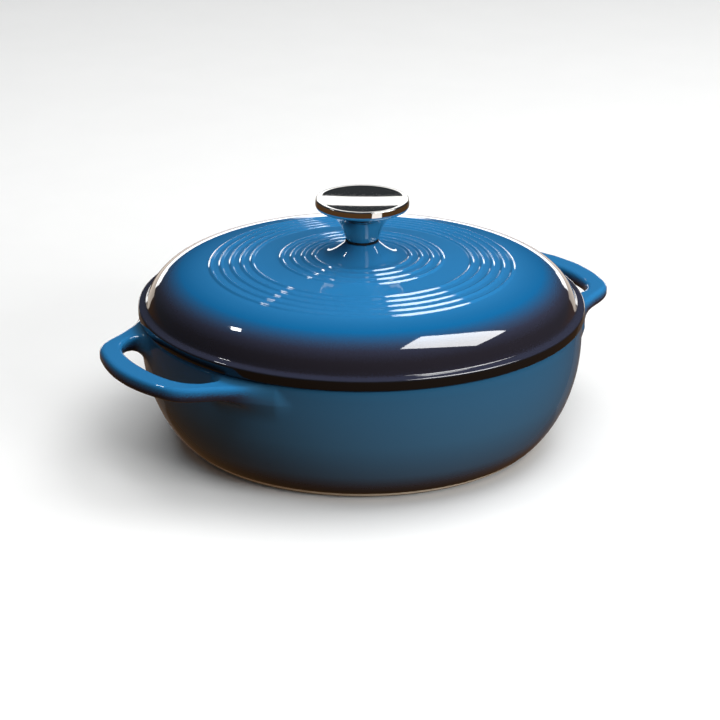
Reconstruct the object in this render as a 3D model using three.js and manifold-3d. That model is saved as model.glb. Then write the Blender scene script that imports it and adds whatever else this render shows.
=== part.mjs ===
// A covered casserole dish: an enamelled cast-iron pot with two loop handles, and a domed lid
// with raised rings. A polished knob is held on the lid by a screw from below.
// Millimetres, +Z up. The origin is the centre of the pot's foot, and the handles lie along X.

import * as THREE from 'three';
import { mergeVertices } from 'three/addons/utils/BufferGeometryUtils.js';
import Module from 'manifold-3d';

const wasm = await Module();
wasm.setup();

// Driving dimensions
const ROUND_STEPS = 56;         // facets around the pot and the lid
const SMALL_STEPS = 32;         // facets around the knob and its fastening
const GAP = 0.3;                // clearance between pieces that touch

const FOOT_RADIUS = 115;
const RIM_RADIUS = 145;         // outside of the pot at its rim
const POT_HEIGHT = 83.9;
const POT_WALL = 4;
const POT_FLOOR = 4.8;

const HANDLE_REACH = 184;       // from the axis to the tip of a handle
const HANDLE_TOP = 81;
const HANDLE_THICKNESS = 10;
const HANDLE_EDGE = 3;          // rounding of the handle's edges

const SEAT_Z = POT_HEIGHT + GAP;
const LID_RADIUS = 147;
const LID_EDGE = 6.6;           // height of the lid's upright edge
const COVE = { width: 6.4, rise: 4.2 };     // narrow shelf and cove between the edge and the dome
const LID_WALL = 3.9;
const LIP_RADIUS = 139.4;       // locating lip that drops inside the pot's rim
const LIP_DEPTH = 4.6;
const CROWN_Z = 122.9;          // top of the lid around its boss
const BOSS_RADIUS = 10.8;
const BOSS_TOP = 131.8;
const RING_HEIGHT = 1;
const RING_WIDTH = 3.4;
const OUTER_RINGS = { first: 72.2, pitch: 6.75, count: 5 };
const INNER_RINGS = { first: 31.6, pitch: 7.1, count: 4 };

const GASKET = 1;
const STEM_RADIUS = 10.4;
const KNOB_RADIUS = 30.6;
const KNOB_TOP = 160.8;
const KNOB_BAND = 6.4;          // height of the knob's rounded rim

const SCREW_RADIUS = 2.9;
const SCREW_BORE = SCREW_RADIUS + 0.4;
const SCREW_REACH = 12;         // length of thread inside the knob
const SCREW_HEAD = { radius: 5.8, height: 4.2 };
const FLAT_WASHER = { radius: 8, thickness: 1.2 };
const SPRING_WASHER = { radius: 5.2, thickness: 1.6, slit: 1.2 };

const enamelBlue = new THREE.MeshStandardMaterial({ color: 0x245f8c, roughness: 0.12, metalness: 0 });
const enamelDark = new THREE.MeshStandardMaterial({ color: 0x1d3f6b, roughness: 0.12, metalness: 0 });
const polishedSteel = new THREE.MeshStandardMaterial({ color: 0xc9c6c2, roughness: 0.12, metalness: 1 });
const blackRubber = new THREE.MeshStandardMaterial({ color: 0x15130f, roughness: 0.7, metalness: 0 });
const platedSteel = new THREE.MeshStandardMaterial({ color: 0xa9a9a6, roughness: 0.35, metalness: 1 });

const vector = ([r, z]) => new THREE.Vector2(r, z);

// Points of a smooth curve in the (radius, height) plane, its two ends included
function arc(from, control1, control2, to, steps) {
  const curve = new THREE.CubicBezierCurve(...[from, control1, control2, to].map(vector));
  return curve.getPoints(steps).map((p) => [p.x, p.y]);
}

// A closed body turned about +Z from its outline of (radius, height) points, the bottom first
function turned(outline, steps) {
  const geometry = new THREE.LatheGeometry(outline.map(vector), steps);
  geometry.rotateX(Math.PI / 2);
  return geometry;
}

function toSolid(geometry) {
  const plain = geometry.clone();
  plain.deleteAttribute('normal');
  plain.deleteAttribute('uv');
  const merged = mergeVertices(plain, 1e-4);
  const mesh = new wasm.Mesh({
    numProp: 3,
    vertProperties: new Float32Array(merged.attributes.position.array),
    triVerts: new Uint32Array(merged.index.array),
  });
  return new wasm.Manifold(mesh);
}

function toGeometry(solid) {
  const mesh = solid.getMesh();
  const geometry = new THREE.BufferGeometry();
  geometry.setAttribute('position', new THREE.BufferAttribute(mesh.vertProperties, 3));
  geometry.setIndex(new THREE.BufferAttribute(mesh.triVerts, 1));
  geometry.computeVertexNormals();
  return geometry;
}

function piece(name, geometry, material) {
  const mesh = new THREE.Mesh(geometry, material);
  mesh.name = name;
  return mesh;
}

// Plan of one loop handle, on the +X side: broad feet that flow out of the pot's wall,
// rounded shoulders and a gently curved tip, around a D-shaped finger hole
function handlePlan() {
  const inside = RIM_RADIUS - 33;
  const tip = HANDLE_REACH;
  const half = [
    [tip, 0], [tip, 13], [tip - 2.5, 24.8], [tip - 7.4, 38],
    [tip - 12.3, 51.2], [tip - 23.6, 53.4], [tip - 34, 59],
    [tip - 42, 63.5], [tip - 52, 68.5], [tip - 63, 79.2],
  ];
  const plan = new THREE.Shape();
  plan.moveTo(...half[0]);
  for (let i = 1; i < half.length; i += 3) {
    plan.bezierCurveTo(...half[i], ...half[i + 1], ...half[i + 2]);
  }
  plan.lineTo(inside, half.at(-1)[1] - 4);
  plan.lineTo(inside, 4 - half.at(-1)[1]);
  const back = half.map(([x, y]) => [x, -y]).reverse();
  plan.lineTo(...back[0]);
  for (let i = 1; i < back.length; i += 3) {
    plan.bezierCurveTo(...back[i], ...back[i + 1], ...back[i + 2]);
  }

  const far = tip - 15.5;
  const end = tip - 37;
  const wall = tip - 45.6;
  const hole = new THREE.Path();
  hole.moveTo(far, 0);
  hole.bezierCurveTo(far, -22, far - 4.5, -44.5, end, -46.4);
  hole.bezierCurveTo(end - 4.5, -46.9, wall + 1, -45, wall, -42.4);
  hole.lineTo(inside + 15, -36);
  hole.lineTo(inside + 15, 36);
  hole.lineTo(wall, 42.4);
  hole.bezierCurveTo(wall + 1, 45, end - 4.5, 46.9, end, 46.4);
  hole.bezierCurveTo(far - 4.5, 44.5, far, 22, far, 0);
  plan.holes.push(hole);
  return plan;
}

function handleSolid(side) {
  const geometry = new THREE.ExtrudeGeometry(handlePlan(), {
    depth: HANDLE_THICKNESS - 2 * HANDLE_EDGE,
    curveSegments: 7,
    bevelThickness: HANDLE_EDGE,
    bevelSize: HANDLE_EDGE,
    bevelOffset: -HANDLE_EDGE,
    bevelSegments: 2,
  });
  geometry.translate(0, 0, HANDLE_TOP - HANDLE_THICKNESS + HANDLE_EDGE);
  if (side < 0) geometry.rotateZ(Math.PI);
  return toSolid(geometry);
}

// One casting: a round belly on a flat foot, open at the top, with both handles
function pot() {
  const rimRound = 1.4;
  const belly = arc([FOOT_RADIUS, 0], [FOOT_RADIUS + 8, 2.9], [RIM_RADIUS + 4.4, 30.8],
    [RIM_RADIUS, POT_HEIGHT - rimRound], 12);
  const outside = toSolid(turned(
    [[0, 0], ...belly, [RIM_RADIUS - rimRound, POT_HEIGHT], [0, POT_HEIGHT]], ROUND_STEPS));
  const mouth = RIM_RADIUS - POT_WALL;
  const over = POT_HEIGHT + 10;
  const bowl = arc([FOOT_RADIUS - 12, POT_FLOOR], [FOOT_RADIUS + 5, POT_FLOOR + 1],
    [mouth + 3.4, 34], [mouth, POT_HEIGHT - rimRound], 10);
  const hollow = toSolid(turned(
    [[0, POT_FLOOR], ...bowl, [mouth, over], [0, over]], ROUND_STEPS));
  const body = outside.add(handleSolid(1)).add(handleSolid(-1)).subtract(hollow);
  return piece('pot', toGeometry(body), enamelBlue);
}

// Raised rings on the crown, as outline points from the outside inwards
function ringOutline({ first, pitch, count }, surface) {
  const points = [];
  for (let i = count - 1; i >= 0; i -= 1) {
    const r = first + i * pitch;
    points.push(
      [r + RING_WIDTH / 2, surface(r + RING_WIDTH / 2)],
      [r, surface(r) + RING_HEIGHT],
      [r - RING_WIDTH / 2, surface(r - RING_WIDTH / 2)],
    );
  }
  return points;
}

// One casting: upright edge, narrow shelf, steep shoulder, and a crown that rises slowly
// to the boss under the knob
function lid() {
  const edgeTop = SEAT_Z + LID_EDGE;
  const domeRadius = LID_RADIUS - COVE.width;
  const shoulderRadius = 110;
  const shoulderZ = 114.2;
  const crown = (r) => CROWN_Z - (CROWN_Z - shoulderZ) * (r / shoulderRadius) ** 1.75;
  const edge = [
    [LIP_RADIUS, SEAT_Z], [LID_RADIUS - 1.8, SEAT_Z], [LID_RADIUS, SEAT_Z + 2.2],
    [LID_RADIUS, edgeTop - 1], [LID_RADIUS - 1.2, edgeTop + 0.3], [domeRadius + 1, edgeTop + 1.4],
  ];
  const shoulder = arc([domeRadius, edgeTop + COVE.rise], [domeRadius - 4.8, edgeTop + 14.5],
    [shoulderRadius + 17, shoulderZ - 2], [shoulderRadius, shoulderZ], 8);
  const bossFoot = BOSS_RADIUS + 15;
  const boss = arc([bossFoot, crown(bossFoot)], [bossFoot - 6, CROWN_Z + 1],
    [BOSS_RADIUS + 3.7, CROWN_Z + 3], [BOSS_RADIUS, BOSS_TOP], 5);
  const top = [
    ...edge, ...shoulder, ...ringOutline(OUTER_RINGS, crown),
    ...ringOutline(INNER_RINGS, crown), ...boss, [SCREW_BORE, BOSS_TOP],
  ];
  const lipInner = LIP_RADIUS - 4;
  const inside = arc([lipInner, SEAT_Z + 2], [lipInner - 2, edgeTop + 13],
    [shoulderRadius + 8, shoulderZ - LID_WALL], [shoulderRadius - 8, shoulderZ - LID_WALL + 0.6], 6)
    .reverse();
  const underside = [
    [SCREW_BORE, CROWN_Z - LID_WALL], [40, crown(40) - LID_WALL], [75, crown(75) - LID_WALL],
    ...inside, [lipInner, SEAT_Z - LIP_DEPTH], [LIP_RADIUS - 0.8, SEAT_Z - LIP_DEPTH],
    [LIP_RADIUS, SEAT_Z - LIP_DEPTH + 1.5],
  ];
  const outline = [...underside, ...top];
  return piece('lid', turned([...outline, outline[0]], ROUND_STEPS), enamelDark);
}

const KNOB_BASE = BOSS_TOP + GAP + GASKET + GAP;

// A mushroom knob: a broad shallow dish on a flared stem, with a blind threaded hole
function knob() {
  const bore = SCREW_BORE;
  const boreTop = KNOB_BASE + SCREW_REACH + 1.5;
  const bandFoot = KNOB_TOP - KNOB_BAND;
  const flare = arc([STEM_RADIUS, KNOB_BASE], [STEM_RADIUS + 2.6, KNOB_BASE + 6.5],
    [STEM_RADIUS + 4.1, bandFoot - 4], [KNOB_RADIUS - 2.1, bandFoot], 9);
  const outline = [
    [0, boreTop], [bore, boreTop], [bore, KNOB_BASE], ...flare,
    [KNOB_RADIUS - 0.5, bandFoot + 1.5], [KNOB_RADIUS, bandFoot + 3.2],
    [KNOB_RADIUS, KNOB_TOP - 0.7], [KNOB_RADIUS - 0.7, KNOB_TOP],
    [KNOB_RADIUS - 4, KNOB_TOP - 0.3], [KNOB_RADIUS / 2, KNOB_TOP - 0.7], [0, KNOB_TOP - 0.8],
  ];
  return piece('knob', turned(outline, SMALL_STEPS), polishedSteel);
}

function knobGasket() {
  const foot = BOSS_TOP + GAP;
  const outer = STEM_RADIUS + 0.5;
  const outline = [
    [SCREW_BORE, foot], [outer, foot], [outer, foot + GASKET], [SCREW_BORE, foot + GASKET],
    [SCREW_BORE, foot],
  ];
  return piece('knob_gasket', turned(outline, SMALL_STEPS), blackRubber);
}

const WASHER_TOP = CROWN_Z - LID_WALL - GAP;

function flatWasher() {
  const { radius, thickness } = FLAT_WASHER;
  const foot = WASHER_TOP - thickness;
  const outline = [
    [SCREW_BORE, foot], [radius, foot], [radius, WASHER_TOP], [SCREW_BORE, WASHER_TOP],
    [SCREW_BORE, foot],
  ];
  return piece('flat_washer', turned(outline, SMALL_STEPS), platedSteel);
}

const SPRING_TOP = WASHER_TOP - FLAT_WASHER.thickness - GAP;

// A split lock washer: a flat ring with one slit
function springWasher() {
  const { radius, thickness, slit } = SPRING_WASHER;
  const foot = SPRING_TOP - thickness;
  const ring = toSolid(turned([
    [SCREW_BORE, foot], [radius, foot], [radius, SPRING_TOP], [SCREW_BORE, SPRING_TOP],
    [SCREW_BORE, foot],
  ], SMALL_STEPS));
  const cutter = new THREE.BoxGeometry(radius * 2, slit, thickness * 3);
  cutter.rotateX(0.35);
  cutter.translate(radius * 1.2, 0, foot + thickness / 2);
  return piece('spring_washer', toGeometry(ring.subtract(toSolid(cutter))), platedSteel);
}

// A pan-head screw with a cross recess, from below the lid up into the knob
function knobScrew() {
  const shoulder = SPRING_TOP - SPRING_WASHER.thickness - GAP;
  const { radius, height } = SCREW_HEAD;
  const foot = shoulder - height;
  const tip = KNOB_BASE + SCREW_REACH;
  const body = toSolid(turned([
    [0, foot], [radius - 1.8, foot + 0.2], [radius - 0.4, foot + 1.4], [radius, foot + 2.4],
    [radius, shoulder], [SCREW_RADIUS, shoulder], [SCREW_RADIUS, tip - 1],
    [SCREW_RADIUS - 1, tip], [0, tip],
  ], SMALL_STEPS));
  const recess = [0, Math.PI / 2].map((turn) => {
    const slot = new THREE.BoxGeometry(radius * 1.1, 1.3, 4.4);
    slot.rotateZ(turn);
    slot.translate(0, 0, foot);
    return toSolid(slot);
  });
  return piece('knob_screw', toGeometry(body.subtract(recess[0]).subtract(recess[1])), platedSteel);
}

const dish = new THREE.Group();
dish.add(pot(), lid(), knob(), knobGasket(), knobScrew(), springWasher(), flatWasher());

export default dish;
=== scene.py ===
"""A covered casserole dish: an enamelled cast-iron pot with two loop handles, and a domed lid
with raised rings, whose polished knob is held from below by a screw and two washers.

Outlines are in millimetres and become metres when their mesh is made. +Z is up, the handles
lie along X, and the origin is the centre of the pot's foot."""
import math

import bpy
import numpy as np
from mathutils import Matrix, Vector


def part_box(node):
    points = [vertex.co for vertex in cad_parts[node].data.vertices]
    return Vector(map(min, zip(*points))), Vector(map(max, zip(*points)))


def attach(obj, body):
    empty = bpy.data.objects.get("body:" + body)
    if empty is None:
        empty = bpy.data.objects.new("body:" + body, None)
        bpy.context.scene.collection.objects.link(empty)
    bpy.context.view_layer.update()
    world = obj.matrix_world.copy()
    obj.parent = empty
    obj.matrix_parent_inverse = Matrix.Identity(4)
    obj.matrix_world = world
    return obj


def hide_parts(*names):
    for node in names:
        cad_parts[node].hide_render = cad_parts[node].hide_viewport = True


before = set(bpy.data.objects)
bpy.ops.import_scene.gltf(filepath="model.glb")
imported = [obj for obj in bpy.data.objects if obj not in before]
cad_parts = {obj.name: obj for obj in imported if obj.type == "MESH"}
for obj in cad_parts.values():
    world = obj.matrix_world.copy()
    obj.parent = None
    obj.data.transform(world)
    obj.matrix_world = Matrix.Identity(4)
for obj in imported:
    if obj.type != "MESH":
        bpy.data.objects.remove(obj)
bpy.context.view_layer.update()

MM = 0.001


def extent(node):
    """A CAD node's reach along X, its lowest height and its highest height, in millimetres."""
    low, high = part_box(node)
    return high.x / MM, low.z / MM, high.z / MM


HANDLE_REACH, _, POT_TOP = extent("pot")
LID_RADIUS, LIP_FOOT, BOSS_TOP = extent("lid")
KNOB_RADIUS, KNOB_BASE, KNOB_TOP = extent("knob")
GASKET_RADIUS, GASKET_FOOT, GASKET_TOP = extent("knob_gasket")
HEAD_RADIUS, HEAD_FOOT, SCREW_TIP = extent("knob_screw")
SPRING_RADIUS, SPRING_FOOT, SPRING_TOP = extent("spring_washer")
WASHER_RADIUS, WASHER_FOOT, WASHER_TOP = extent("flat_washer")

FOOT_RADIUS = 115
RIM_RADIUS = LID_RADIUS - 2
POT_WALL = 4
POT_FLOOR = 4.8
RIM_ROUND = 3.2                 # how far the rim's edges are rounded
FOOT_ROUND = 1.5

HANDLE_TOP = POT_TOP - 2.9
HANDLE_FOOT = HANDLE_TOP - 10
HANDLE_EDGE_TOP = 3             # rounding of the handle's upper edges
HANDLE_EDGE_FOOT = 4.2
FILLET_TOP = 4                  # fillet where the handle's top meets the wall
FILLET_FOOT = 15                # and where its underside does

SEAT = POT_TOP + 0.3
EDGE_TOP = SEAT + 6.6           # top of the lid's upright edge
DOME_RADIUS = LID_RADIUS - 6.4
LID_WALL = 3.9
LIP_RADIUS = LID_RADIUS - 7.6
CROWN = BOSS_TOP - 8.9
SHOULDER_RADIUS = 110
SHOULDER = CROWN - 8.7
BOSS_RADIUS = 10.8
RING_HEIGHT = 1
RING_WIDTH = 3.4
RINGS = [72.2 + 6.75 * i for i in range(5)] + [31.6 + 7.1 * i for i in range(4)]

STEM_RADIUS = GASKET_RADIUS - 0.5
BORE = 3.3
SHANK = 2.9

ROUND_STEPS = 192
SMALL_STEPS = 64


# ---- outlines ----

def curve(a, b, c, d, count=24):
    """Points of a cubic curve in the (radius, height) plane, both ends included."""
    t = np.linspace(0, 1, count + 1)[:, None]
    a, b, c, d = np.array([a, b, c, d], float)
    return (1 - t) ** 3 * a + 3 * (1 - t) ** 2 * t * b + 3 * (1 - t) * t ** 2 * c + t ** 3 * d


def join(*runs):
    """One line from points and runs of points, without the repeats where they meet."""
    points = np.vstack([np.atleast_2d(np.array(run, float)) for run in runs])
    step = np.hypot(*np.diff(points, axis=0).T)
    return points[np.concatenate([[True], step > 1e-4])]


def soften(points, radius, sharp=math.radians(20), count=6):
    """The line with each sharp corner rounded to about that radius."""
    step = np.diff(points, axis=0)
    along = np.concatenate([[0], np.cumsum(np.hypot(*step.T))])
    heading = np.arctan2(step[:, 1], step[:, 0])
    turn = np.abs((np.diff(heading) + math.pi) % math.tau - math.pi)
    corners = np.flatnonzero(turn > sharp) + 1
    stops = np.concatenate([[-1e3], along[corners], [1e3]])
    room = np.minimum(np.diff(stops)[:-1], np.diff(stops)[1:]) * 0.45
    cuts = np.minimum(radius * np.tan(turn[corners - 1] / 2), room)
    keep = np.ones(len(points), bool)
    places, marks = [], []
    t = np.linspace(0, 1, count + 1)[:, None]
    for corner, cut in zip(corners, cuts):
        keep &= np.abs(along - along[corner]) > cut
        ends = np.array([along[corner] - cut, along[corner] + cut])
        start, end = np.column_stack([np.interp(ends, along, points[:, i]) for i in range(2)])
        places.append((1 - t) ** 2 * start + 2 * (1 - t) * t * points[corner] + t ** 2 * end)
        marks.append(along[corner] + (2 * t[:, 0] - 1) * cut)
    marks = np.concatenate([along[keep], *marks])
    places = np.vstack([points[keep], *places])
    return places[np.argsort(marks, kind="stable")]


# ---- meshes ----

def new_object(name, corners, faces):
    """An object from corners in millimetres."""
    mesh = bpy.data.meshes.new(name)
    mesh.from_pydata(np.asarray(corners, float) * MM, [], faces)
    mesh.update()
    mesh.shade_smooth()
    piece = bpy.data.objects.new(name, mesh)
    bpy.context.scene.collection.objects.link(piece)
    return piece


def lathe(name, outline, steps, closed=False):
    """A body turned about Z. An end on the axis closes it, and so does joining the ends."""
    rows = len(outline)
    turns = np.arange(steps) * math.tau / steps
    corners, row_corners = [], []
    for radius, height in outline:
        on_axis = radius < 1e-6
        ring = [(0, 0, height)] if on_axis else [
            (radius * math.cos(t), radius * math.sin(t), height) for t in turns]
        row_corners.append(np.arange(len(corners), len(corners) + len(ring)))
        corners.extend(ring)
    faces = []
    for row in range(rows if closed else rows - 1):
        low = np.resize(row_corners[row], steps)
        high = np.resize(row_corners[(row + 1) % rows], steps)
        for i in range(steps):
            j = (i + 1) % steps
            loop = dict.fromkeys(int(c) for c in (low[i], low[j], high[j], high[i]))
            faces.append(list(loop))
    return new_object(name, corners, faces)


def surface_net(distance, turns, radii, heights):
    """Corners and faces of the surface where distance is zero, on a grid that runs round Z.

    Each cell that the surface crosses gets one corner, and each grid edge that it crosses
    gets one face between the cells around that edge."""
    value = distance(turns[:, None, None], radii[None, :, None], heights[None, None, :])
    value = np.concatenate([value, value[:1]])
    around = np.append(turns, turns[0] + math.tau)
    solid = value < 0
    cube = np.array([(i, j, k) for i in (0, 1) for j in (0, 1) for k in (0, 1)])
    cells = tuple(n - 1 for n in value.shape)
    filled = sum(solid[i:i + cells[0], j:j + cells[1], k:k + cells[2]].astype(int)
                 for i, j, k in cube)
    active = np.argwhere((filled > 0) & (filled < len(cube)))
    nodes = active[:, None] + cube
    at_node = value[nodes[..., 0], nodes[..., 1], nodes[..., 2]]
    place = np.stack([around[nodes[..., 0]], radii[nodes[..., 1]], heights[nodes[..., 2]]], -1)
    total = np.zeros((len(active), 3))
    count = np.zeros(len(active))
    for a in range(8):
        for b in range(a + 1, 8):
            if np.abs(cube[a] - cube[b]).sum() != 1:
                continue
            crossed = (at_node[:, a] < 0) != (at_node[:, b] < 0)
            gap = np.where(crossed, at_node[:, a] - at_node[:, b], 1)
            share = (at_node[:, a] / gap)[:, None]
            total += crossed[:, None] * (place[:, a] + share * (place[:, b] - place[:, a]))
            count += crossed
    turn, radius, height = (total / count[:, None]).T
    corners = np.column_stack([radius * np.cos(turn), radius * np.sin(turn), height])

    number = np.full(cells, -1)
    number[tuple(active.T)] = np.arange(len(active))
    solid = solid[:-1]
    i, j, k = np.nonzero(solid != np.roll(solid, -1, 0))
    quads = [np.column_stack([number[i, j - 1, k - 1], number[i, j, k - 1],
                              number[i, j, k], number[i, j - 1, k]])]
    i, j, k = np.nonzero(solid[:, :-1] != solid[:, 1:])
    quads.append(np.column_stack([number[i - 1, j, k - 1], number[i, j, k - 1],
                                  number[i, j, k], number[i - 1, j, k]]))
    i, j, k = np.nonzero(solid[:, :, :-1] != solid[:, :, 1:])
    out = j > 0
    a, b, c = i[out], j[out], k[out]
    quads.append(np.column_stack([number[a - 1, b - 1, c], number[a, b - 1, c],
                                  number[a, b, c], number[a - 1, b, c]]))
    a, c = i[~out], k[~out]
    levels, level = np.unique(c, return_inverse=True)
    first, second = number[a - 1, 0, c], number[a, 0, c]
    middle = [(0, 0, corners[second[level == n], 2].mean()) for n in range(len(levels))]
    fan = np.column_stack([len(corners) + level, first, second])
    return np.vstack([corners, *middle]), np.vstack(quads), fan


# ---- the pot: one casting with its handles ----

def wall_distance(radius, height, line):
    """How far outside a wall a point is; the wall is a line of points that rises all the way."""
    tilt = np.gradient(line[:, 0], line[:, 1])
    lean = np.hypot(1, np.interp(height, line[:, 1], tilt))
    return (radius - np.interp(height, line[:, 1], line[:, 0])) / lean


def polygon_distance(x, y, outline):
    """How far outside a closed outline a point is."""
    nearest = np.full(np.broadcast(x, y).shape, np.inf)
    inside = np.zeros(nearest.shape, bool)
    for (ax, ay), (bx, by) in zip(outline, np.roll(outline, -1, axis=0)):
        dx, dy = bx - ax, by - ay
        share = np.clip(((x - ax) * dx + (y - ay) * dy) / (dx * dx + dy * dy), 0, 1)
        nearest = np.minimum(nearest, (x - ax - share * dx) ** 2 + (y - ay - share * dy) ** 2)
        if ay != by:
            inside ^= ((ay > y) != (by > y)) & (x < ax + (y - ay) * dx / dy)
    return np.where(inside, -1, 1) * np.sqrt(nearest)


def smooth_max(a, b, blend):
    return np.maximum(a, b) + np.maximum(blend - np.abs(a - b), 0) ** 2 / (4 * blend)


def smooth_min(a, b, blend):
    return -smooth_max(-a, -b, blend)


def mirrored(half):
    """A closed outline from its half with y at or above zero."""
    return join(half, (half * (1, -1))[::-1])[:-1]


def handle_plan():
    """Plan of one loop handle: its outline and its finger hole, each as a closed line."""
    tip = HANDLE_REACH
    inside = RIM_RADIUS - 33
    outer = mirrored(join(
        curve((tip, 0), (tip, 13), (tip - 2.5, 24.8), (tip - 7.4, 38)),
        curve((tip - 7.4, 38), (tip - 12.3, 51.2), (tip - 23.6, 53.4), (tip - 34, 59)),
        curve((tip - 34, 59), (tip - 42, 63.5), (tip - 52, 68.5), (tip - 63, 79.2)),
        (inside, 75.2)))
    far, end, wall = tip - 15.5, tip - 37, tip - 45.6
    hole = mirrored(join(
        curve((far, 0), (far, 22), (far - 4.5, 44.5), (end, 46.4)),
        curve((end, 46.4), (end - 4.5, 46.9), (wall + 1, 45), (wall, 42.4)),
        (inside + 15, 36)))
    return outer, hole


PLAN, HOLE = handle_plan()
OUTSIDE = curve((FOOT_RADIUS, 0), (FOOT_RADIUS + 8, 2.9), (RIM_RADIUS + 4.4, 30.8),
                (RIM_RADIUS, POT_TOP - 1.4), 300)
MOUTH = RIM_RADIUS - POT_WALL
INSIDE = curve((FOOT_RADIUS - 12, POT_FLOOR), (FOOT_RADIUS + 5, POT_FLOOR + 1),
               (MOUTH + 3.4, 34), (MOUTH, POT_TOP - 1.4), 300)


def pot_distance(turn, radius, height):
    """How far outside the pot a point is: the walls, the handles blended in, less the hollow."""
    body = smooth_max(wall_distance(radius, height, OUTSIDE), height - POT_TOP, RIM_ROUND)
    body = smooth_max(body, -height, FOOT_ROUND)
    x, y = np.abs(radius * np.cos(turn)), radius * np.sin(turn)
    plan = np.maximum(polygon_distance(x, y, PLAN), -polygon_distance(x, y, HOLE))
    above, below = height - HANDLE_TOP, HANDLE_FOOT - height
    edge = np.where(above > below, HANDLE_EDGE_TOP, HANDLE_EDGE_FOOT)
    a, b = plan + edge, np.maximum(above, below) + edge
    handle = np.hypot(np.maximum(a, 0), np.maximum(b, 0)) + np.minimum(np.maximum(a, b), 0) - edge
    blend = np.interp(height, (HANDLE_FOOT, HANDLE_TOP), (FILLET_FOOT, FILLET_TOP))
    cast = smooth_min(body, handle, blend)
    hollow = smooth_max(wall_distance(radius, height, INSIDE), POT_FLOOR - height, 1)
    return smooth_max(cast, -hollow, RIM_ROUND)


def at(points):
    """The pot's distance at points in space."""
    x, y, z = points.T
    return pot_distance(np.arctan2(y, x), np.hypot(x, y), z)


def slope(points, reach):
    """The direction in which the pot's distance grows fastest."""
    steps = np.eye(3) * reach
    rise = np.column_stack([at(points + step) - at(points - step) for step in steps])
    return rise / np.linalg.norm(rise, axis=1, keepdims=True)


def settle(points, rounds=2):
    """Moves points onto the pot's surface."""
    for _ in range(rounds):
        points = points - slope(points, 0.05) * at(points)[:, None]
    return points


def spread(points, faces):
    """Each point moved halfway to the middle of its neighbours."""
    edges = np.vstack([faces[:, [i, (i + 1) % faces.shape[1]]] for i in range(faces.shape[1])])
    near = np.bincount(edges[:, 0], minlength=len(points))
    total = np.column_stack([
        np.bincount(edges[:, 0], points[edges[:, 1], i], len(points)) for i in range(3)])
    moved = (near > 0)[:, None]
    return np.where(moved, 0.5 * points + 0.5 * total / np.maximum(near, 1)[:, None], points)


def make_pot():
    coarse = 1
    quarter = np.concatenate([np.arange(0, 36, 0.75 * coarse), np.arange(36, 90, 1.5 * coarse)])
    half = np.concatenate([quarter, 180 - quarter[:0:-1], [90]])
    turns = np.radians(np.unique(np.concatenate([half, half + 180])))
    radii = np.concatenate([
        np.arange(0, 96, 6), np.arange(96, 136, 2.5 * coarse), np.arange(136, 149, coarse),
        np.arange(149, HANDLE_REACH + 3, 1.6 * coarse)])
    heights = np.concatenate([
        [-3], np.arange(-0.75, 8, 1.5), np.arange(9, HANDLE_FOOT - 6, 2.4 * coarse),
        np.arange(HANDLE_FOOT - 5, POT_TOP + 3, 0.8 * coarse)])
    corners, quads, fan = surface_net(pot_distance, turns, radii, heights)
    corners = settle(corners)
    for _ in range(2):
        corners = settle(spread(corners, quads), 1)
    normals = slope(corners, 0.3)
    for faces in (quads, fan):
        across = np.cross(corners[faces[:, 2]] - corners[faces[:, 0]],
                          corners[faces[:, -1]] - corners[faces[:, 1]])
        backward = np.einsum("ij,ij->i", across, normals[faces[:, 0]]) < 0
        faces[backward] = faces[backward][:, ::-1]
    piece = new_object("pot_casting", corners, quads.tolist() + fan.tolist())
    middles = np.empty((len(piece.data.polygons), 3))
    piece.data.polygons.foreach_get("center", middles.ravel())
    radius, height = np.hypot(middles[:, 0], middles[:, 1]) / MM, middles[:, 2] / MM
    inner = wall_distance(radius, height, INSIDE) < POT_WALL / 2
    bowl = inner & (height > POT_FLOOR / 2)
    piece.data.materials.append(pot_enamel())
    piece.data.materials.append(cream_enamel("pot_cream", MOUTH, POT_TOP))
    piece.data.polygons.foreach_set("material_index", bowl.astype(np.int32))
    piece.data.normals_split_custom_set_from_vertices(normals)
    return piece


# ---- the lid ----

def crown(radius):
    """Height of the lid's gently domed top, without its rings."""
    return CROWN - (CROWN - SHOULDER) * (radius / SHOULDER_RADIUS) ** 1.75


def ridges(radii):
    """Height of the raised rings above the crown: straight flanks with a rounded top."""
    away = np.min(np.abs(radii[:, None] - RINGS), axis=1) / (RING_WIDTH / 2)
    tip = 0.3
    rise = (math.hypot(1, tip) - np.hypot(away, tip)) / (math.hypot(1, tip) - tip)
    return RING_HEIGHT * np.maximum(rise, 0)


def lid_underside():
    """From the screw's hole out to the foot of the lip."""
    inner = LIP_RADIUS - 4
    plain = np.linspace(BORE, SHOULDER_RADIUS - 12, 16)
    inside = curve((inner, SEAT + 2), (inner - 2, EDGE_TOP + 13),
                   (SHOULDER_RADIUS + 8, SHOULDER - LID_WALL),
                   (SHOULDER_RADIUS - 8, SHOULDER - LID_WALL + 0.6))[::-1]
    line = join(np.column_stack([plain, crown(plain) - LID_WALL]), inside,
                (inner, LIP_FOOT), (LIP_RADIUS, LIP_FOOT), (LIP_RADIUS, SEAT),
                (LID_RADIUS - 3, SEAT))
    return soften(line, 1.2)


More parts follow.
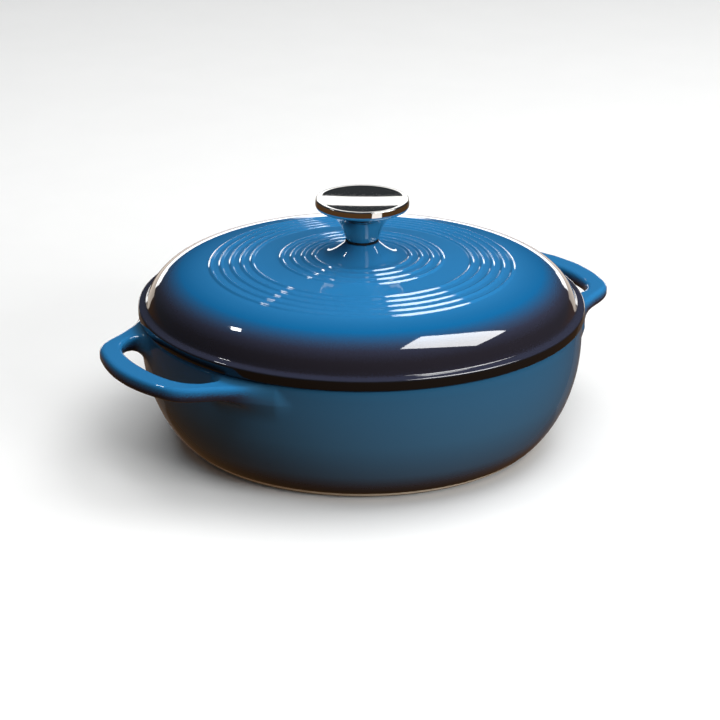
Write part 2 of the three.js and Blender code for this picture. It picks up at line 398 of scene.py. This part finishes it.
def lid_top():
    """From the seat up over the edge, its narrow shelf, the shoulder and the rings to the boss."""
    boss_foot = BOSS_RADIUS + 15
    edge = [(LID_RADIUS - 3, SEAT), (LID_RADIUS, SEAT), (LID_RADIUS, EDGE_TOP + 0.3),
            (DOME_RADIUS + 1.2, EDGE_TOP + 1.4)]
    shoulder = curve((DOME_RADIUS, EDGE_TOP + 4.2), (DOME_RADIUS - 4.8, EDGE_TOP + 14.5),
                     (SHOULDER_RADIUS + 17, SHOULDER - 2), (SHOULDER_RADIUS, SHOULDER), 40)
    ring_points = [ring + RING_WIDTH * np.linspace(-0.5, 0.5, 15) for ring in RINGS]
    radii = np.concatenate([*ring_points, np.arange(boss_foot, SHOULDER_RADIUS, 3.5)])
    radii = np.unique(np.round(radii, 2))[::-1]
    boss = curve((boss_foot, crown(boss_foot)), (boss_foot - 4.5, CROWN + 0.2),
                 (BOSS_RADIUS + 5.2, CROWN + 4), (BOSS_RADIUS, BOSS_TOP))
    line = join(edge, shoulder, np.column_stack([radii, crown(radii) + ridges(radii)]), boss,
                (BORE, BOSS_TOP))
    return soften(line, 1.6, sharp=math.radians(24))


def make_lid():
    underside, top = lid_underside(), lid_top()
    piece = lathe("lid_casting", join(underside, top), ROUND_STEPS, closed=True)
    piece.data.materials.append(lid_enamel())
    piece.data.materials.append(cream_enamel("lid_cream", LIP_RADIUS - 4, LIP_FOOT + 3))
    below = np.zeros(len(piece.data.polygons), np.int32)
    below[:(len(underside) - 1) * ROUND_STEPS] = 1
    piece.data.polygons.foreach_set("material_index", below)
    return piece


# ---- the knob and its fastening ----

def make_knob():
    band = KNOB_TOP - 6.4
    stem = curve((STEM_RADIUS, KNOB_BASE), (STEM_RADIUS + 2.6, KNOB_BASE + 6.5),
                 (STEM_RADIUS + 4, band - 5), (KNOB_RADIUS - 4.6, band - 1))
    under = curve((KNOB_RADIUS - 4.6, band - 1), (KNOB_RADIUS - 2.4, band + 0.1),
                  (KNOB_RADIUS, band + 0.4), (KNOB_RADIUS, band + 2.8), 12)
    dish = np.linspace(KNOB_RADIUS - 4, 0, 16)
    sag = 0.85 - 0.75 * (dish / dish[0]) ** 2
    head = soften(join(
        stem, under, (KNOB_RADIUS, KNOB_TOP), (KNOB_RADIUS - 2.4, KNOB_TOP),
        np.column_stack([dish, KNOB_TOP - sag])), 0.7, sharp=math.radians(12))
    hole_top = SCREW_TIP + 1.5
    outline = join((0, hole_top), (BORE, hole_top), (BORE, KNOB_BASE), head)
    return lathe("knob_mushroom", outline, SMALL_STEPS * 2)


def flat_ring(name, inner, outer, foot, top, edge):
    """A turned ring of oblong section with its edges broken."""
    start = (inner, (foot + top) / 2)
    line = soften(join(start, (inner, foot), (outer, foot), (outer, top), (inner, top), start), edge)
    return lathe(name, line[:-1], SMALL_STEPS, closed=True)


def make_spring_washer():
    """A ring with a slanted slit, whose two ends stand apart."""
    slit = math.radians(8)
    middle = (SPRING_FOOT + SPRING_TOP) / 2
    thickness = (SPRING_TOP - SPRING_FOOT) * 0.8
    section = [(BORE, -0.5), (SPRING_RADIUS, -0.5), (SPRING_RADIUS, 0.5), (BORE, 0.5)]
    turns = np.linspace(slit, math.tau - slit, SMALL_STEPS)
    corners = []
    for step, turn in enumerate(turns):
        lift = middle + (step / (SMALL_STEPS - 1) - 0.5) * (SPRING_TOP - SPRING_FOOT - thickness)
        for radius, side in section:
            lean = turn + side * math.radians(9)
            corners.append((radius * math.cos(lean), radius * math.sin(lean),
                            lift + side * thickness))
    faces = [(3, 2, 1, 0), tuple(len(corners) - 4 + i for i in range(4))]
    for step in range(SMALL_STEPS - 1):
        for i in range(4):
            a, b = 4 * step + i, 4 * step + (i + 1) % 4
            faces.append((a, b, b + 4, a + 4))
    return new_object("spring_washer_split", corners, faces)


def cross_cutter():
    """Two crossed wedges, the shape of a cross-head driver's tip."""
    wide, thin, deep = HEAD_RADIUS * 0.58, 0.75, 2.6
    corners, faces = [], []
    for along, across in ((Vector((1, 0, 0)), Vector((0, 1, 0))),
                          (Vector((0, 1, 0)), Vector((-1, 0, 0)))):
        base = len(corners)
        for height, taper in ((HEAD_FOOT - 1, 1), (HEAD_FOOT + deep, 0.45)):
            for u, v in ((-1, -1), (1, -1), (1, 1), (-1, 1)):
                place = along * (u * wide * taper) + across * (v * thin * taper)
                corners.append((place.x, place.y, height))
        sides = [(i, (i + 1) % 4, 4 + (i + 1) % 4, 4 + i) for i in range(4)]
        for face in [(3, 2, 1, 0), (4, 5, 6, 7), *sides]:
            faces.append([base + corner for corner in face])
    return new_object("cross_cutter", corners, faces)


def make_screw():
    """A pan-head screw with a cross recess and a threaded shank."""
    shoulder = SPRING_FOOT - 0.3
    head = soften(join((0, HEAD_FOOT), (HEAD_RADIUS - 1.8, HEAD_FOOT + 0.2),
                       (HEAD_RADIUS - 0.4, HEAD_FOOT + 1.4), (HEAD_RADIUS, HEAD_FOOT + 2.4),
                       (HEAD_RADIUS, shoulder), (SHANK, shoulder)), 0.5)
    pitch = 1
    turns = int((SCREW_TIP - shoulder - 3) / pitch)
    thread = [(SHANK - 0.3 * (i % 2), shoulder + 1.5 + i * pitch / 2) for i in range(2 * turns)]
    piece = lathe("knob_screw_pan_head", join(
        head, thread, (SHANK - 1, SCREW_TIP), (0, SCREW_TIP)), SMALL_STEPS)
    cutter = cross_cutter()
    carve = piece.modifiers.new("recess", "BOOLEAN")
    carve.object = cutter
    carve.solver = "EXACT"
    carve.use_self = True
    ready = piece.evaluated_get(bpy.context.evaluated_depsgraph_get())
    carved = bpy.data.meshes.new_from_object(ready)
    piece.modifiers.clear()
    piece.data = carved
    bpy.data.objects.remove(cutter)
    return piece


# ---- materials ----

def srgb(red, green, blue):
    """A linear colour from its everyday 0 to 255 values."""
    parts = [c / 255 for c in (red, green, blue)]
    return [c / 12.92 if c <= 0.04045 else ((c + 0.055) / 1.055) ** 2.4 for c in parts] + [1]


class Graph:
    """Short ways to add nodes to a tree and join them."""

    def __init__(self, tree):
        self.tree = tree

    def add(self, kind, inputs=(), **settings):
        """A node; inputs pairs each socket's name or number with a value or another output."""
        node = self.tree.nodes.new(kind)
        for setting, value in settings.items():
            setattr(node, setting, value)
        for socket, value in inputs:
            if isinstance(value, bpy.types.NodeSocket):
                self.tree.links.new(value, node.inputs[socket])
            else:
                node.inputs[socket].default_value = value
        return node

    def math(self, operation, a, b):
        return self.add("ShaderNodeMath", [(0, a), (1, b)], operation=operation).outputs[0]

    def mix(self, share, a, b):
        return self.add("ShaderNodeMix", [("Factor", share), (6, a), (7, b)],
                        data_type="RGBA").outputs[2]

    def fade(self, value, start, end):
        """0 before start, 1 past end, and smooth between."""
        return self.add("ShaderNodeMapRange", [
            ("Value", value), ("From Min", start), ("From Max", end)],
            interpolation_type="SMOOTHSTEP").outputs[0]


class Finish(Graph):
    """A material with its Principled shader."""

    def __init__(self, name, **values):
        self.material = bpy.data.materials.new(name)
        self.material.use_nodes = True
        super().__init__(self.material.node_tree)
        self.shader = self.tree.nodes["Principled BSDF"]
        for socket, value in values.items():
            self.shader.inputs[socket.replace("_", " ")].default_value = value
        self.place = self.add("ShaderNodeTexCoord").outputs["Object"]

    def join(self, output, socket):
        self.tree.links.new(output, self.shader.inputs[socket])

    def noise(self, size, detail=2.0, stretch=(1, 1, 1)):
        """Cloudy values from 0 to 1, in spots of about that many millimetres."""
        spot = self.add("ShaderNodeMapping", [("Vector", self.place), ("Scale", stretch)])
        return self.add("ShaderNodeTexNoise", [
            ("Vector", spot.outputs[0]), ("Scale", 1 / (size * MM)), ("Detail", detail),
        ]).outputs["Fac"]

    def axis_radius(self):
        """Distance from the Z axis, in millimetres."""
        flat = self.add("ShaderNodeVectorMath", [(0, self.place), (1, (1, 1, 0))],
                        operation="MULTIPLY").outputs[0]
        length = self.add("ShaderNodeVectorMath", [(0, flat)], operation="LENGTH")
        return self.math("DIVIDE", length.outputs["Value"], MM)

    def height(self):
        split = self.add("ShaderNodeSeparateXYZ", [(0, self.place)])
        return self.math("DIVIDE", split.outputs["Z"], MM)

    def spray(self, value, spot, amount):
        """A value jittered by fine noise, as sprayed enamel fades in specks."""
        jitter = self.math("MULTIPLY_ADD", self.noise(spot), amount)
        jitter.node.inputs[2].default_value = -amount / 2
        return self.math("ADD", value, jitter)

    def ramp(self, value, stops):
        """Colours along a value, from (value, colour) stops."""
        low, high = stops[0][0], stops[-1][0]
        span = self.add("ShaderNodeMapRange", [("Value", value), ("From Min", low),
                                               ("From Max", high)])
        ramp = self.add("ShaderNodeValToRGB", [("Fac", span.outputs[0])])
        bands = ramp.color_ramp.elements
        while len(bands) < len(stops):
            bands.new(0.5)
        for band, (value, _) in zip(bands, stops):
            band.position = (value - low) / (high - low)
        for band, (_, colour) in zip(bands, stops):
            band.color = srgb(*colour)
        return ramp.outputs["Color"]

    def bump(self, value, height):
        """Relief of that height in millimetres, added under any relief joined before."""
        node = self.add("ShaderNodeBump", [
            ("Strength", 1.0), ("Distance", height * MM), ("Height", value)])
        links = self.shader.inputs["Normal"].links
        if links:
            self.tree.links.new(links[0].from_socket, node.inputs["Normal"])
        self.join(node.outputs[0], "Normal")

    def roughness(self, value, low, high):
        span = self.add("ShaderNodeMapRange", [("Value", value), ("To Min", low),
                                               ("To Max", high)])
        self.join(span.outputs[0], "Roughness")


BRIGHT_BLUE = (40, 118, 172)
DEEP_BLUE = (12, 97, 150)
NAVY = (44, 64, 92)
SLATE = (44, 46, 62)
INK = (34, 31, 38)
BLACK = (22, 19, 18)


def enamel(name):
    """Glossy vitreous enamel with the faint ripple of a fired coat over cast iron."""
    finish = Finish(name, IOR=1.5)
    finish.roughness(finish.noise(30), 0.02, 0.05)
    finish.bump(finish.noise(9), 0.008)
    finish.bump(finish.noise(1.6), 0.001)
    return finish


def lid_enamel():
    finish = enamel("lid_blue_enamel")
    radius = finish.spray(finish.axis_radius(), 0.7, 5)
    colour = finish.ramp(radius, [
        (0, BRIGHT_BLUE), (98, BRIGHT_BLUE), (119, DEEP_BLUE), (129, NAVY), (133, SLATE),
        (138, INK), (141, INK), (143, SLATE), (147, SLATE)])
    edge = finish.fade(finish.height(), EDGE_TOP + 0.6, EDGE_TOP - 0.6)
    finish.join(finish.mix(edge, colour, srgb(*BLACK)), "Base Color")
    return finish.material


def pot_enamel():
    finish = enamel("pot_blue_enamel")
    # Darker towards the foot: partly the enamel's own fade to black, partly painted shade on the
    # underside of the belly
    height = finish.spray(finish.height(), 0.7, 5)
    colour = finish.ramp(height, [
        (0, BLACK), (6, (24, 21, 22)), (12, (50, 52, 62)), (21, (60, 88, 112)),
        (45, (58, 100, 130)), (76, (48, 94, 126)), (84, (44, 98, 134))])
    # Painted light and shade on the handles: their tops are painted bright blue as if lit from
    # above, their sides and undersides painted slate as shade
    outer = finish.fade(finish.axis_radius(), RIM_RADIUS + 1, RIM_RADIUS + 10)
    handle = finish.mix(finish.fade(height, 74.5, 79), srgb(*SLATE), srgb(*BRIGHT_BLUE))
    colour = finish.mix(outer, colour, handle)
    rim = finish.fade(finish.height(), POT_TOP - 1, POT_TOP - 0.4)
    finish.join(finish.mix(rim, colour, srgb(*BLACK)), "Base Color")
    return finish.material


def cream_enamel(name, radius, rim):
    """Off-white enamel inside, dark where it ends at the rim."""
    finish = Finish(name, IOR=1.5)
    finish.roughness(finish.noise(25), 0.08, 0.16)
    finish.bump(finish.noise(9), 0.03)
    colour = finish.mix(finish.noise(14), srgb(226, 218, 200), srgb(216, 206, 186))
    height = finish.spray(finish.height(), 0.8, 1.2)
    edge = finish.math("ABSOLUTE", finish.math("SUBTRACT", height, rim), 0)
    near = finish.fade(edge, 3.4, 2.4)
    outer = finish.fade(finish.axis_radius(), radius - 6, radius - 2)
    share = finish.math("MULTIPLY", near, outer)
    finish.join(finish.mix(share, colour, srgb(*BLACK)), "Base Color")
    return finish.material


def polished_steel():
    finish = Finish("knob_polished_steel", Metallic=1.0)
    turned = finish.add("ShaderNodeCombineXYZ", [(0, finish.axis_radius()),
                                                 (2, finish.height())]).outputs[0]
    lines = finish.add("ShaderNodeTexNoise", [("Vector", turned), ("Scale", 9.0),
                                              ("Detail", 3.0)]).outputs["Fac"]
    finish.join(finish.mix(lines, srgb(206, 204, 200), srgb(224, 222, 218)), "Base Color")
    finish.roughness(finish.noise(8), 0.02, 0.05)
    finish.bump(lines, 0.0005)
    return finish.material


def plated_steel(name):
    finish = Finish(name, Metallic=1.0)
    finish.join(finish.mix(finish.noise(2), srgb(176, 175, 170), srgb(200, 198, 190)), "Base Color")
    finish.roughness(finish.noise(0.8), 0.25, 0.4)
    finish.bump(finish.noise(0.5), 0.01)
    return finish.material


def black_rubber():
    finish = Finish("gasket_rubber", IOR=1.45)
    finish.join(finish.mix(finish.noise(1), srgb(16, 15, 14), srgb(30, 28, 27)), "Base Color")
    finish.roughness(finish.noise(1.5), 0.5, 0.75)
    finish.bump(finish.noise(0.4), 0.02)
    return finish.material


# ---- the object ----

def stand_for(piece, node, body, material=None, crease=40):
    """The piece takes a CAD node's place, its body and its finish."""
    if material:
        piece.data.materials.append(material)
    if crease:
        piece.data.set_sharp_from_angle(angle=math.radians(crease))
    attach(piece, body)
    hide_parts(node)


stand_for(make_pot(), "pot", "pot", crease=0)
stand_for(make_lid(), "lid", "lid")
stand_for(make_knob(), "knob", "lid", polished_steel())
stand_for(flat_ring("knob_gasket_ring", BORE, GASKET_RADIUS, GASKET_FOOT, GASKET_TOP, 0.3),
          "knob_gasket", "lid", black_rubber())
stand_for(flat_ring("flat_washer_ring", BORE, WASHER_RADIUS, WASHER_FOOT, WASHER_TOP, 0.25),
          "flat_washer", "lid", plated_steel("washer_steel"))
stand_for(make_spring_washer(), "spring_washer", "lid",
          plated_steel("spring_washer_steel"), 30)
stand_for(make_screw(), "knob_screw", "lid", plated_steel("screw_steel"), 30)


# ---- the studio ----

VIEW_TURN = math.radians(35)    # the camera looks along this bearing from +Y towards +X
VIEW_ELEVATION = 20.885         # degrees above the horizontal
VIEW_ROLL = 0.38                # degrees
VIEW_DISTANCE = 1.8329          # metres from the aim
VIEW_AIM = Vector((0, 0, 0.0623))
LENS = 138.15                   # millimetres
LENS_SHIFT = (-0.0019, -0.0278)
RIGHT = Vector((math.cos(VIEW_TURN), -math.sin(VIEW_TURN), 0))
AWAY = Vector((math.sin(VIEW_TURN), math.cos(VIEW_TURN), 0))
UP = Vector((0, 0, 1))


def direction(bearing, elevation):
    """A direction by its bearing to the right of the view and its elevation, in degrees."""
    bearing, elevation = math.radians(bearing), math.radians(elevation)
    flat = AWAY * math.cos(bearing) + RIGHT * math.sin(bearing)
    return flat * math.cos(elevation) + UP * math.sin(elevation)


def make_floor():
    """A plain pale floor, left out of reflections and of bounced light."""
    mesh = bpy.data.meshes.new("floor")
    reach = 8
    sides = ((-reach, -reach), (reach, -reach), (reach, reach), (-reach, reach))
    mesh.from_pydata([(x, y, 0) for x, y in sides], [], [(0, 1, 2, 3)])
    floor = bpy.data.objects.new("floor", mesh)
    bpy.context.scene.collection.objects.link(floor)
    finish = Finish("pale_floor", Roughness=0.9, Specular_IOR_Level=0.0)
    finish.join(finish.mix(finish.noise(60), srgb(246, 246, 245), srgb(249, 249, 248)), "Base Color")
    mesh.materials.append(finish.material)
    floor.visible_glossy = False
    floor.visible_diffuse = False


def softbox(name, bearing, elevation, distance, size, power, aim=(0, 0, 0), seen=True, level=False):
    """An area light that faces the aim, or straight down when level.

    A light that is seen only shows in reflections. One that isn't only lights the surfaces."""
    lamp = bpy.data.lights.new(name, "AREA")
    lamp.shape = "RECTANGLE"
    lamp.size, lamp.size_y = size
    lamp.energy = power
    light = bpy.data.objects.new(name, lamp)
    towards = direction(bearing, elevation)
    light.location = Vector(aim) + towards * distance
    if level:
        light.rotation_euler = (0, 0, math.atan2(RIGHT.y, RIGHT.x))
    else:
        light.rotation_euler = (-towards).to_track_quat("-Z", "Y").to_euler()
    light.visible_camera = False
    light.visible_glossy = seen
    light.visible_diffuse = not seen
    bpy.context.scene.collection.objects.link(light)


def make_lights():
    softbox("overhead_fill", 0, 90, 2.2, (3, 3), 52, seen=False, level=True)
    softbox("key_fill", 72, 62, 2.0, (1.4, 1.4), 15, seen=False)
    softbox("side_fill", 132, 22, 2.0, (1.0, 0.8), 24, seen=False)
    softbox("low_fill", 150, 3, 1.8, (1.6, 0.16), 5, seen=False)
    softbox("key", 81, 60.4, 2.2, (1.32, 1.04), 70, level=True)
    softbox("left_window", -59, 54.6, 2.1, (0.25, 0.12), 3)
    knob_top = (0, 0, KNOB_TOP * MM)
    softbox("knob_card", 0, 17.2, 0.5, (0.1, 0.033), 0.02, aim=knob_top)
    softbox("knob_glint", 148, -12, 0.12, (0.045, 0.09), 0.016, aim=knob_top)


def make_world():
    """A dark studio with bands of light low behind the dish."""
    world = bpy.data.worlds.new("studio")
    world.use_nodes = True
    graph = Graph(world.node_tree)
    bearing = graph.add("ShaderNodeTexCoord").outputs["Generated"]
    up = graph.add("ShaderNodeSeparateXYZ", [(0, bearing)]).outputs["Z"]
    away, side = (graph.add("ShaderNodeVectorMath", [(0, bearing), (1, axis)],
                            operation="DOT_PRODUCT").outputs["Value"] for axis in (AWAY, RIGHT))
    aside = graph.math("ABSOLUTE", side, 0)
    behind = graph.fade(away, 0.3, 0.6)

    def panel(left, right, low, high, soft=0.015):
        """1 inside a span of side and height, 0 outside, only behind the dish."""
        spans = (graph.fade(aside, left - soft, left), graph.fade(aside, right + soft, right),
                 graph.fade(up, low - soft, low), graph.fade(up, high + soft, high))
        share = behind
        for span in spans:
            share = graph.math("MULTIPLY", share, span)
        return share

    colour = graph.mix(graph.fade(up, -0.1, 0.1), (0.1, 0.05, 0.02, 1), (0.04, 0.045, 0.05, 1))
    # Each band: its span to either side, its span of height, and its light
    bands = [((-1, 0.5, -0.5, -0.02), (0.16, 0.11, 0.08, 1)),
             ((-1, 0.5, -0.2, -0.02), (1.3, 1.12, 0.95, 1)),
             ((-1, 0.42, -0.02, 0.06), (4, 4, 4, 1)),
             ((0.31, 0.4, 0.04, 0.08), (5, 5, 5, 1))]
    for span, light in bands:
        colour = graph.mix(panel(*span), colour, light)
    sky = world.node_tree.nodes["Background"]
    world.node_tree.links.new(colour, sky.inputs["Color"])
    bpy.context.scene.world = world


def make_camera():
    lens = bpy.data.cameras.new("camera")
    lens.lens = LENS
    lens.shift_x, lens.shift_y = LENS_SHIFT
    camera = bpy.data.objects.new("camera", lens)
    towards = direction(180, VIEW_ELEVATION)
    camera.location = VIEW_AIM + towards * VIEW_DISTANCE
    look = (-towards).to_track_quat("-Z", "Y").to_matrix().to_4x4()
    roll = Matrix.Rotation(math.radians(VIEW_ROLL), 4, "Z")
    camera.matrix_world = Matrix.Translation(camera.location) @ look @ roll
    bpy.context.scene.collection.objects.link(camera)
    bpy.context.scene.camera = camera


make_floor()
make_lights()
make_world()
make_camera()
bpy.context.scene.view_settings.view_transform = "Standard"
